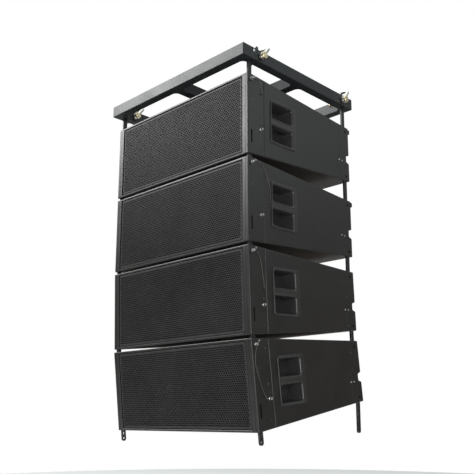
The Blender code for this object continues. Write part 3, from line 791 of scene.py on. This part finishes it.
def grille_mesh():
    """Pan of sheet steel with rounded rims and staggered round holes, as one closed mesh."""
    half_pitch = HOLE_PITCH / 2
    columns = 2 * HOLE_COLUMNS + 2
    left = -(columns - 1) * half_pitch / 2
    low = sum(GRILLE_Z) / 2 - HOLE_ROWS * ROW_PITCH / 2
    verts = []
    faces = []

    def lattice(y):
        start = len(verts)
        for row in range(HOLE_ROWS + 1):
            for column in range(columns):
                verts.append((left + column * half_pitch, y, low + row * ROW_PITCH))
        return start

    front, back = GRILLE_Y, GRILLE_Y + SHEET
    grids = [lattice(front), lattice(back)]

    def corner(layer, row, column):
        return grids[layer] + row * columns + column

    # A cell's outline turns against the clock seen from the front, from the bottom middle.
    rim = ((0, 1), (0, 2), (1, 2), (1, 1), (1, 0), (0, 0))
    for row in range(HOLE_ROWS):
        for hole in range(HOLE_COLUMNS):
            first = 2 * hole + row % 2
            x = left + (first + 1) * half_pitch
            z = low + (row + 0.5) * ROW_PITCH
            rings = []
            for y in (front, back):
                rings.append(len(verts))
                for step in range(HOLE_SIDES):
                    turn = radians(360 / HOLE_SIDES * step - 90)
                    verts.append((x + HOLE_RADIUS * cos(turn), y,
                                  z + HOLE_RADIUS * sin(turn)))
            for k in range(6):
                up, over = rim[k]
                next_up, next_over = rim[(k + 1) % 6]
                for layer in (0, 1):
                    outer = [corner(layer, row + up, first + over),
                             corner(layer, row + next_up, first + next_over)]
                    inner = [rings[layer] + step % HOLE_SIDES for step in range(2 * k, 2 * k + 3)]
                    faces.append(outer[::-1] + inner if layer else outer + inner[::-1])
            for step in range(HOLE_SIDES):
                after = (step + 1) % HOLE_SIDES
                faces.append([rings[0] + step, rings[0] + after, rings[1] + after, rings[1] + step])
        spare = 2 * HOLE_COLUMNS if row % 2 == 0 else 0
        for layer in (0, 1):
            quad = [corner(layer, row, spare), corner(layer, row, spare + 1),
                    corner(layer, row + 1, spare + 1), corner(layer, row + 1, spare)]
            faces.append(quad if layer == 0 else quad[::-1])

    # The pan: loops of a rounded rectangle from the front face, over the rim, and up inside.
    rear = GRILLE_Y + GRILLE_DEPTH
    sections = [(front + d, inset) for d, inset in quarter(PAN_BEND)]
    sections.append((rear, 0.0))
    sections.append((rear, SHEET))
    sections += [(back + d, SHEET + inset) for d, inset in reversed(quarter(PAN_BEND - SHEET))]
    loops = []
    for y, inset in sections:
        ring = outline(grown((-GRILLE_X, GRILLE_X), -inset), grown(GRILLE_Z, -inset),
                       max(PAN_ROUND - inset, 0.0006), PAN_STEPS)
        start = len(verts)
        verts.extend((x, y, z) for x, z in ring)
        loops.append(start)
    count = 4 * (PAN_STEPS + 1)
    for first, second in zip(loops, loops[1:]):
        for i in range(count):
            j = (i + 1) % count
            faces.append([first + i, first + j, second + j, second + i])
    # Margins: each side's face runs along the lattice edge and the nearest part of the loop.
    last = columns - 1
    top = HOLE_ROWS
    middle = PAN_STEPS // 2
    sides = [
        ([(top, c) for c in range(last, -1, -1)], 0, 1),
        ([(r, 0) for r in range(top, -1, -1)], 1, 2),
        ([(0, c) for c in range(last + 1)], 2, 3),
        ([(r, last) for r in range(top + 1)], 3, 0),
    ]
    for layer, start in ((0, loops[0]), (1, loops[-1])):
        for edge, here, after in sides:
            lattice_run = [corner(layer, r, c) for r, c in edge]
            ids = list(range(here * (PAN_STEPS + 1) + middle, here * (PAN_STEPS + 1) + PAN_STEPS + 1))
            ids += list(range(after * (PAN_STEPS + 1), after * (PAN_STEPS + 1) + middle + 1))
            face = lattice_run + [start + i for i in reversed(ids)]
            faces.append(face if layer == 1 else face[::-1])
    mesh = bpy.data.meshes.new("grille")
    mesh.from_pydata(verts, [], faces)
    mesh.update()
    return dressed(mesh, "grille", GRILLE_COAT, 40.0)


def foam_mesh():
    """Black open cell foam that lines the pan behind the perforation."""
    bm = bmesh.new()
    front = GRILLE_Y + SHEET + FOAM_GAP
    slab(bm, 1, (-FOAM_X, FOAM_X), grown(GRILLE_Z, -FOAM_INSET), SMALL_ROUND, front, front + FOAM_THICK,
         FOAM_EDGE, FOAM_EDGE)
    return dressed(carve(bm), "foam", FOAM)


# ---- handles, links, pins

def handle_mesh():
    """Right hand bar handle: raised frame, two finger pockets that flare at the mouth, their inner faces
    paler with painted light.
    """
    face = HALF + HANDLE_RAISE
    bm = bmesh.new()
    slab(bm, 0, HANDLE_Y, HANDLE_Z, HANDLE_ROUND, HALF + CLEAR, face, high_edge=SOFT_EDGE)
    cup = bmesh.new()
    slab(cup, 0, CUP_Y, CUP_Z, CUP_ROUND, CUP_X, HALF + PAST)
    pockets = bmesh.new()
    rims = bmesh.new()
    for z in (UPPER_POCKET_Z, LOWER_POCKET_Z):
        funnel(pockets, 0, [(x, y, grown(z, growth), radius) for x, y, growth, radius in POCKET])
        slab(rims, 0, RIM_Y, grown(z, RIM_GROWTH), RIM_ROUND, face - PAST, face + MOUTH_RIM,
             high_edge=RIM_EDGE)
    behind = bmesh.new()
    slab(behind, 0, GRIP_Y, (LOWER_POCKET_Z[1] - GRIP_EDGE, UPPER_POCKET_Z[0] + GRIP_EDGE), GRIP_ROUND,
         CUP_X + CUP_WALL, GRIP_BACK)
    steps = [("UNION", cup), ("UNION", rims), ("DIFFERENCE", pockets), ("DIFFERENCE", behind)]
    mesh = dressed(carve(bm, steps), "handle", NYLON)
    # Faces deeper in the pockets take the paler copy: painted light in the recess.
    mesh.materials.append(CUP_NYLON_PAINTED_LIGHT)
    for face in mesh.polygons:
        if face.center.x < HALF - CUP_PAINTED_LIGHT_DEPTH:
            face.material_index = 1
    return mesh


def link_mesh(name, up, down, holes, slots=()):
    """Flat bar with rounded ends, round holes at (Z, radius) and slots between (low, high) Z."""
    bm = bmesh.new()
    slab(bm, 0, (-LINK_WIDE / 2, LINK_WIDE / 2), (-down, up), LINK_ROUND, -LINK_THICK / 2,
         LINK_THICK / 2, LINK_EDGE, LINK_EDGE, steps=8)
    cuts = bmesh.new()
    for z, radius in holes:
        rod(cuts, (0, 0, z), (1, 0, 0), 2 * LINK_THICK, radius, 24)
    for z in slots:
        slab(cuts, 0, (-SLOT_HALF, SLOT_HALF), z, LINK_SLOT_ROUND, -LINK_THICK, LINK_THICK)
    return dressed(carve(bm, [("DIFFERENCE", cuts)]), name, BLACK_STEEL)


def front_pin_mesh():
    """Quick release pin, along Z from the cabinet's side: button, grip collar, ring and shaft."""
    bm = bmesh.new()
    lathe(bm, [(0.0006, 0.0160), (0.0024, 0.0159), (0.0040, 0.0152), (0.0049, 0.0140), (0.0051, 0.0128),
               (0.0051, 0.0108), (0.0047, 0.0101), (0.0038, 0.0098), (0.0036, 0.0064), (0.0042, 0.0058),
               (0.0062, 0.0057), (0.0068, 0.0050), (0.0068, 0.0012), (0.0063, CLEAR),
               (0.0045, CLEAR), (0.0045, -0.0225), (0.0041, -0.0240), (0.0030, -0.0252),
               (0.0006, -0.0255)])
    return dressed(carve(bm), "front_pin", PIN_STEEL, 30.0)


# ---- fly frame and shackles

def fly_frame_mesh():
    half_x = FRAME_X / 2
    half_y = FRAME_Y / 2
    bm = bmesh.new()
    slab(bm, 2, (-half_x, half_x), (-half_y, half_y), SMALL_ROUND, -BEAM_TALL, 0.0, SOFT_EDGE, SOFT_EDGE)

    hangers = bmesh.new()
    pins = [CABINETS[1] @ spot for spot in (HINGE, Vector((0.0, *HANG_PIN_REAR)))]
    for side in BOTH:
        for pin in pins:
            slab(hangers, 0, grown((pin.y, pin.y), LINK_WIDE / 2), (pin.z - HANGER_DOWN, HANGER_TOP),
                 LINK_ROUND, *grown((side * LINK_X, side * LINK_X), LINK_THICK / 2), LINK_EDGE, LINK_EDGE, 8)

    windows = bmesh.new()
    rows = ((-half_y + BEAM_WIDE, CROSS_BAR[0] + FRAME_TO_CABINET.y),
            (CROSS_BAR[1] + FRAME_TO_CABINET.y, half_y - BEAM_WIDE))
    rim = ((-PAST, WINDOW_FLARE), (0.0, WINDOW_FLARE), (0.0005, WINDOW_FLARE / 2), (WINDOW_FLARE, 0.0))
    depths = [(-BEAM_TALL + inside, flare) for inside, flare in rim]
    depths += [(-inside, flare) for inside, flare in reversed(rim)]
    for side in BOTH:
        across = span(side, MID_BAR_HALF, half_x - BEAM_WIDE)
        for row in rows:
            funnel(windows, 2, [(depth, grown(across, flare), grown(row, flare), CORNER_RADIUS + flare)
                                for depth, flare in depths], 6)

    holes = bmesh.new()
    for side in BOTH:
        for pin in pins:
            rod(holes, (side * LINK_X, pin.y, pin.z), (1, 0, 0), 2 * LINK_THICK, PIN_HOLE)
        for y in SHACKLE_Y.values():
            rod(holes, (side * SHACKLE_X, y + FRAME_TO_CABINET.y, -SHACKLE_DROP), (1, 0, 0),
                2 * BEAM_WIDE, SHACKLE_HOLE)
    steps = [("DIFFERENCE", windows), ("UNION", hangers), ("DIFFERENCE", holes)]
    mesh = dressed(carve(bm, steps), "fly_frame", FRAME_COAT)
    mesh.materials.append(FRAME_PRIMER)
    for face in mesh.polygons:
        x, y, _ = face.center
        if abs(x) < half_x - BEAM_WIDE - PAST and abs(y) < half_y - BEAM_WIDE - PAST:
            face.material_index = 1
    return mesh


def stop_bolt_meshes():
    """Black bolts that stand on the side beams ahead of the front shackles, and their bright studs."""
    bolts = bmesh.new()
    studs = bmesh.new()
    y = SHACKLE_Y["front"] + FRAME_TO_CABINET.y
    for side in BOTH:
        x = side * (FRAME_X / 2 - STOP_INSIDE)
        hexagon(bolts, (x, y - STOP_AHEAD, STOP_HEAD / 2), (0, 0, 1), STOP_HEAD, STOP_HEAD_RADIUS, 12.0)
        rod(bolts, (x, y - STOP_AHEAD, 0.0104), (0, 0, 1), STOP_TIP, 0.0040, 20, 0.0008)
        lathe(studs, [(0.0052, -0.0002), (0.0052, 0.0003), (0.0046, 0.0009), (0.0030, 0.0011),
                      (0.0004, 0.0011)], (side * FRAME_X / 2, y - STUD_AHEAD, -STUD_DROP), (side, 0, 0), 20)
    return dressed(carve(bolts), "stop_bolts", BLACK_STEEL, 28.0), dressed(carve(studs), "studs", ZINC, 30.0)


def bow_mesh():
    """Shackle bow round its bolt hole, legs up: forged bar that swells into flat eyes."""
    line = [(-BOW_HALF, 0.0, BOW_FOOT), (-BOW_HALF, 0.0, BOW_LEG * 0.5)]
    for step in range(19):
        turn = radians(180 * step / 18)
        line.append((-BOW_HALF * cos(turn), 0.0, BOW_LEG + BOW_HALF * sin(turn)))
    line += [(BOW_HALF, 0.0, BOW_LEG * 0.5), (BOW_HALF, 0.0, BOW_FOOT)]
    bm = bmesh.new()
    tube(bm, line, BOW_BAR, 18)
    ears = bmesh.new()
    eyes = bmesh.new()
    for end in (-1, 1):
        rod(ears, (end * BOW_HALF, 0, 0), (1, 0, 0), EAR_THICK, EAR_RADIUS, 36, SOFT_EDGE)
        rod(eyes, (end * BOW_HALF, 0, 0), (1, 0, 0), 2 * EAR_THICK, SHACKLE_HOLE, 28)
    return dressed(carve(bm, [("UNION", ears), ("DIFFERENCE", eyes)]), "bow", ZINC, 50.0)


def bolt_mesh():
    """Shackle bolt: shank, hex head, nut, washers and the threaded end inside the nut."""
    outside = BOW_HALF + EAR_THICK / 2 + CLEAR
    reach = outside + NUT_THICK + BOLT_PAST_NUT
    bm = bmesh.new()
    rod(bm, (0, 0, 0), (1, 0, 0), 2 * reach, BOLT_RADIUS, 24, 0.0012)
    heads = bmesh.new()
    washers = bmesh.new()
    for end, turn_deg in ((-1, 8.0), (1, 21.0)):
        hexagon(heads, (end * (outside + 0.0014 + NUT_THICK / 2), 0, 0), (1, 0, 0), NUT_THICK,
                HEX_RADIUS, turn_deg)
        rod(washers, (end * (outside + WASHER_THICK / 2), 0, 0), (1, 0, 0), WASHER_THICK,
            HEX_RADIUS - 0.0004, 32, 0.0004)
    return dressed(carve(bm, [("UNION", heads), ("UNION", washers)]), "bolt", YELLOW_ZINC, 28.0)


# ---- rear panel

def connector_mesh():
    """Recessed plate with a rolled lip and a dish, and two round socket bodies."""
    face = DEPTH + CLEAR
    middle = sum(DISH_Z) / 2
    bm = bmesh.new()
    slab(bm, 1, (-PLATE_X, PLATE_X), PLATE_Z, 0.005, face, face + PLATE_THICK, high_edge=0.0010)
    back = bmesh.new()
    slab(back, 1, grown((-DISH_X, DISH_X), DISH_WALL), grown(DISH_Z, DISH_WALL), 0.004,
         face - DISH_DEEP - DISH_WALL, face + PAST)
    dish = bmesh.new()
    inside = face - DISH_DEEP
    top = face + PLATE_THICK
    sections = ((inside, -0.003, 0.004), (top - 0.002, 0.0, 0.005), (top - 0.0006, 0.0006, 0.0056),
                (top, 0.0020, 0.007), (top + PAST, 0.0020, 0.007))
    funnel(dish, 1, [(depth, grown((-DISH_X, DISH_X), growth), grown(DISH_Z, growth), radius)
                     for depth, growth, radius in sections])
    sockets = bmesh.new()
    bores = bmesh.new()
    keys = bmesh.new()
    for side in BOTH:
        at = (side * SOCKET_X, inside, middle)
        lathe(sockets, [(0.0165, -0.001), (0.0165, 0.0040), (0.0160, 0.0050), (0.0150, 0.0054),
                        (0.0150, 0.0215), (0.0144, 0.0232), (0.0130, 0.0240)], at, (0, 1, 0), 32)
        lathe(bores, [(0.0112, 0.0260), (0.0112, 0.0060)], at, (0, 1, 0), 32)
        lathe(keys, [(0.0060, 0.0050), (0.0060, 0.0195), (0.0054, 0.0205)], at, (0, 1, 0), 24)
    return dressed(carve(bm, [("UNION", back), ("DIFFERENCE", dish), ("UNION", sockets),
                              ("DIFFERENCE", bores), ("UNION", keys)]), "connector", PANEL_BLACK, 34.0)


def screw(bm, centre, along, radius, high):
    """Domed screw head."""
    lathe(bm, [(radius, 0.0), (radius, high * 0.25), (radius * 0.92, high * 0.62),
               (radius * 0.70, high * 0.90), (radius * 0.42, high), (radius * 0.36, high * 0.55),
               (radius * 0.05, high * 0.50)], centre, along, 18)


def panel_screws_mesh():
    """Screws of the connector plate and of the rear access panel."""
    bm = bmesh.new()
    face = DEPTH + CLEAR + PLATE_THICK
    for x in grown((-PLATE_X, PLATE_X), -PLATE_SCREW_IN):
        for z in grown(PLATE_Z, -PLATE_SCREW_IN):
            screw(bm, (x, face, z), (0, 1, 0), 0.0038, 0.0022)
    for x in PANEL_SCREW_X:
        for z in PANEL_SCREW_Z:
            screw(bm, (x, DEPTH, z), (0, 1, 0), 0.0042, 0.0024)
    return dressed(carve(bm), "panel_screws", BLACK_STEEL, 30.0)


# ---- side details

def side_fixings_mesh():
    """Right hand rivets of the two rigging rails."""
    bm = bmesh.new()
    for y, z in RIVETS:
        screw(bm, (HALF - 0.0004, y, z), (1, 0, 0), 0.0036, 0.0020)
    return dressed(carve(bm), "side_fixings", BLACK_STEEL, 30.0)


def bright_fixings_mesh():
    """Right hand bright heads of the two rigging rails."""
    bm = bmesh.new()
    for (y, z), steps, profile in BRIGHT_HEADS:
        lathe(bm, profile, (HALF, y, z), (1, 0, 0), steps)
    return dressed(carve(bm), "bright_fixings", ZINC, 30.0)


def rear_knob_mesh():
    """Right hand T handled stop at the rear top corner."""
    bm = bmesh.new()
    lathe(bm, [(0.0085, 0.0), (0.0085, 0.0030), (0.0060, 0.0042), (0.0055, 0.0110), (0.0050, 0.0115)],
          (LINK_X, DEPTH - PAST, sum(KNOB_Z) / 2), (0, 1, 0), 24)
    bar = bmesh.new()
    slab(bar, 1, grown((LINK_X, LINK_X), KNOB_HALF), KNOB_Z, KNOB_ROUND, DEPTH + 0.0090,
         DEPTH + 0.0165, 0.0015, 0.0020)
    return dressed(carve(bm, [("UNION", bar)]), "rear_knob", KNOB, 32.0)


# ---- lanyards

def add_lanyard(number, label, side):
    """Wire from the front pin's ring to an anchor on the cabinet's side."""
    off = HALF + LANYARD_RADIUS + LANYARD_GAP
    route = ROUTES[number]
    reach = [HALF + 0.0070, off + 0.0020] + [off] * (len(route) - 3) + [HALF + ANCHOR_OUT]
    line = [Vector((HALF + 0.0082, HINGE.y + 0.0048, HINGE.z))]
    line += [Vector((x, y, z)) for x, (y, z) in zip(reach, route)]
    for point in line:
        point.x *= side
    place = CABINETS[number]
    even, length = smooth_line([place @ point for point in line])
    bm = bmesh.new()
    tube(bm, even, LANYARD_RADIUS)
    name = f"lanyard_{label}_{number}"
    cord = new_object(name, dressed(carve(bm), name, ROPE, 60.0))
    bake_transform(cord)

    end = line[-1]
    anchor = bmesh.new()
    lathe(anchor, [(0.0040, 0.0), (0.0040, 0.0016), (0.0030, 0.0040), (0.0016, 0.0046), (0.0004, 0.0048)],
          (side * HALF, end.y, end.z), (side, 0, 0), 18)
    piece(f"lanyard_anchor_{label}_{number}", dressed(carve(anchor), "anchor", BLACK_STEEL, 30.0), place,
          BODIES[number], "link_steel")


# ---- assembly

def build_cabinets():
    whole = (
        ("shell", shell_mesh(), "cabinet_paint", "cabinet_shell"),
        ("perforated_grille", grille_mesh(), "grille_paint", "grille"),
        ("foam_lining", foam_mesh(), "board_paint"),
        ("connector_panel", connector_mesh(), "plate_paint", "connector_plate"),
        ("panel_screws", panel_screws_mesh(), "link_steel"),
    )
    paired = (
        ("bar_handle", pair(handle_mesh()), "handle_plastic", "handle"),
        ("side_fixings", pair(side_fixings_mesh()), "link_steel"),
        ("bright_fixings", pair(bright_fixings_mesh()), "zinc_steel"),
    )
    knobs = pair(rear_knob_mesh())
    front_link = link_mesh("front_link", FRONT_LINK_UP, LINK_END, [(0.0, PIN_HOLE)], [FRONT_LINK_SLOT])
    rear_link = link_mesh("rear_link", REAR_LINK_UP, REAR_LINK_DOWN,
                          [(z, REAR_LINK_HOLE) for z in (0.0, -REAR_LINK_DOWN + REAR_LINK_HOLE_UP)])
    pin = front_pin_mesh()
    lean = sum(radians(splay) for splay in SPLAY_DEG)
    for number, place in CABINETS.items():
        body = BODIES[number]
        hinge = HINGES[number]
        for name, mesh, slot, *nodes in whole:
            piece(f"{name}_{number}", mesh, place, body, slot, *(f"{node}_{number}" for node in nodes))
        for label, side in SIDES.items():
            tag = f"{label}_{number}"
            for name, sides, slot, *nodes in paired:
                piece(f"{name}_{tag}", sides[label], place, body, slot, *(f"{node}_{tag}" for node in nodes))
            if number in KNOBBED:
                piece(f"rear_knob_{tag}", knobs[label], place, body, "handle_plastic")
            down = Matrix.Translation((side * LINK_X, 0, -PITCH))
            at = Matrix.Translation(Vector((side * LINK_X, REAR_PIVOT.y, REAR_PIVOT.z)) - HINGE)
            turn = Matrix.Rotation(-lean if number == LAST else 0.0, 4, "X")
            for row, mesh, where in (("front", front_link, hinge @ down),
                                     ("rear", rear_link, hinge @ at @ turn)):
                node = f"{row}_link_{tag}"
                piece(f"{row}_bar_{tag}", mesh, where, node if number == LAST else body, "link_steel", node)
            out = Matrix.Translation((side * HALF, 0, 0)) @ Matrix.Rotation(side * pi / 2, 4, "Y")
            piece(f"release_pin_{tag}", pin, hinge @ out, f"front_pin_{tag}", "zinc_steel",
                  f"front_pin_{tag}")
            add_lanyard(number, label, side)
        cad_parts[f"driver_board_{number}"].data.materials[0] = BOARD_BLACK


def build_frame():
    piece("welded_frame", fly_frame_mesh(), Matrix.Identity(4), BODIES[1], "frame_paint", "fly_frame")
    bolts, studs = stop_bolt_meshes()
    piece("stop_bolts", bolts, Matrix.Identity(4), BODIES[1], "link_steel")
    piece("stop_bolt_studs", studs, Matrix.Identity(4), BODIES[1], "zinc_steel")
    bow = bow_mesh()
    bolt = bolt_mesh()
    for row, y in SHACKLE_Y.items():
        for label, side in SIDES.items():
            tag = f"{row}_{label}"
            at = Matrix.Translation((side * SHACKLE_X, y + FRAME_TO_CABINET.y, -SHACKLE_DROP))
            turn = Matrix.Rotation(-radians(SHACKLE_LEAN_DEG[row]), 4, "X")
            piece(f"bow_{tag}", bow, at @ turn, f"shackle_{tag}", "zinc_steel", f"shackle_bow_{tag}")
            piece(f"bow_bolt_{tag}", bolt, at, f"shackle_{tag}", "yellow_zinc", f"shackle_pin_{tag}")


# ---- studio

def add_camera():
    data = bpy.data.cameras.new("camera")
    data.lens = LENS
    data.shift_x, data.shift_y = SHIFT
    data.clip_start = 0.05
    data.clip_end = 60.0
    camera = new_object("camera", data)
    camera.location = CAMERA_PLACE
    camera.rotation_euler = (radians(90 + CAMERA_UP_DEG), 0.0, radians(CAMERA_TURN_DEG))
    bpy.context.scene.camera = camera


def add_area(name, place, target, size, power, colour):
    data = bpy.data.lights.new(name, "AREA")
    data.shape = "RECTANGLE"
    data.size, data.size_y = size
    data.energy = power
    data.color = colour
    light = new_object(name, data)
    light.location = place
    aim = Vector(target) - Vector(place)
    light.rotation_euler = aim.to_track_quat("-Z", "Y").to_euler()


def add_floor():
    bm = bmesh.new()
    lathe(bm, [(FLOOR_RADIUS, -0.02), (FLOOR_RADIUS, 0.0)], (0, 0, FLOOR_Z), (0, 0, 1), 96)
    mesh = carve(bm)
    made = bpy.data.materials.new("pale_floor")
    made.use_nodes = True
    tree = made.node_tree
    shader = tree.nodes["Principled BSDF"]
    place = add(tree, "ShaderNodeTexCoord").outputs["Object"]
    tone = noise(tree, place, 3.0, 4.0, 0.6)
    join(mixed(tree, tone, grey(0.60), grey(0.64)), shader.inputs["Base Color"])
    preset(shader, Roughness=0.85)
    mesh.materials.append(made)
    floor = new_object("floor", mesh)


def add_world():
    """White studio behind; what lights and mirrors in the object is dimmer, most of all low down."""
    world = bpy.data.worlds.new("studio")
    bpy.context.scene.world = world
    world.use_nodes = True
    tree = world.node_tree
    tree.nodes.clear()
    output = add(tree, "ShaderNodeOutputWorld")
    choose = add(tree, "ShaderNodeMixShader")
    seen = add(tree, "ShaderNodeBackground")
    preset(seen, Color=(1, 1, 1, 1))
    lit = add(tree, "ShaderNodeBackground")
    place = add(tree, "ShaderNodeTexCoord").outputs["Generated"]
    split = add(tree, "ShaderNodeSeparateXYZ")
    join(place, split.inputs[0])
    height = ranged(tree, split.outputs["Z"], *SKY_SPAN, 0.0, 1.0)
    ramp = add(tree, "ShaderNodeValToRGB")
    stops = ramp.color_ramp.elements
    for index, (share, colour) in enumerate(SKY):
        stop = stops[index] if index < 2 else stops.new(share)
        stop.position = share
        stop.color = colour
    join(height, ramp.inputs["Fac"])
    join(ramp.outputs["Color"], lit.inputs["Color"])
    join(add(tree, "ShaderNodeLightPath").outputs["Is Camera Ray"], choose.inputs["Fac"])
    join(lit.outputs[0], choose.inputs[1])
    join(seen.outputs[0], choose.inputs[2])
    join(choose.outputs[0], output.inputs["Surface"])


def light_studio():
    bpy.context.scene.view_settings.view_transform = "Standard"
    add_world()
    for light in LIGHTS:
        add_area(*light)


add_camera()
build_cabinets()
build_frame()
add_floor()
light_studio()
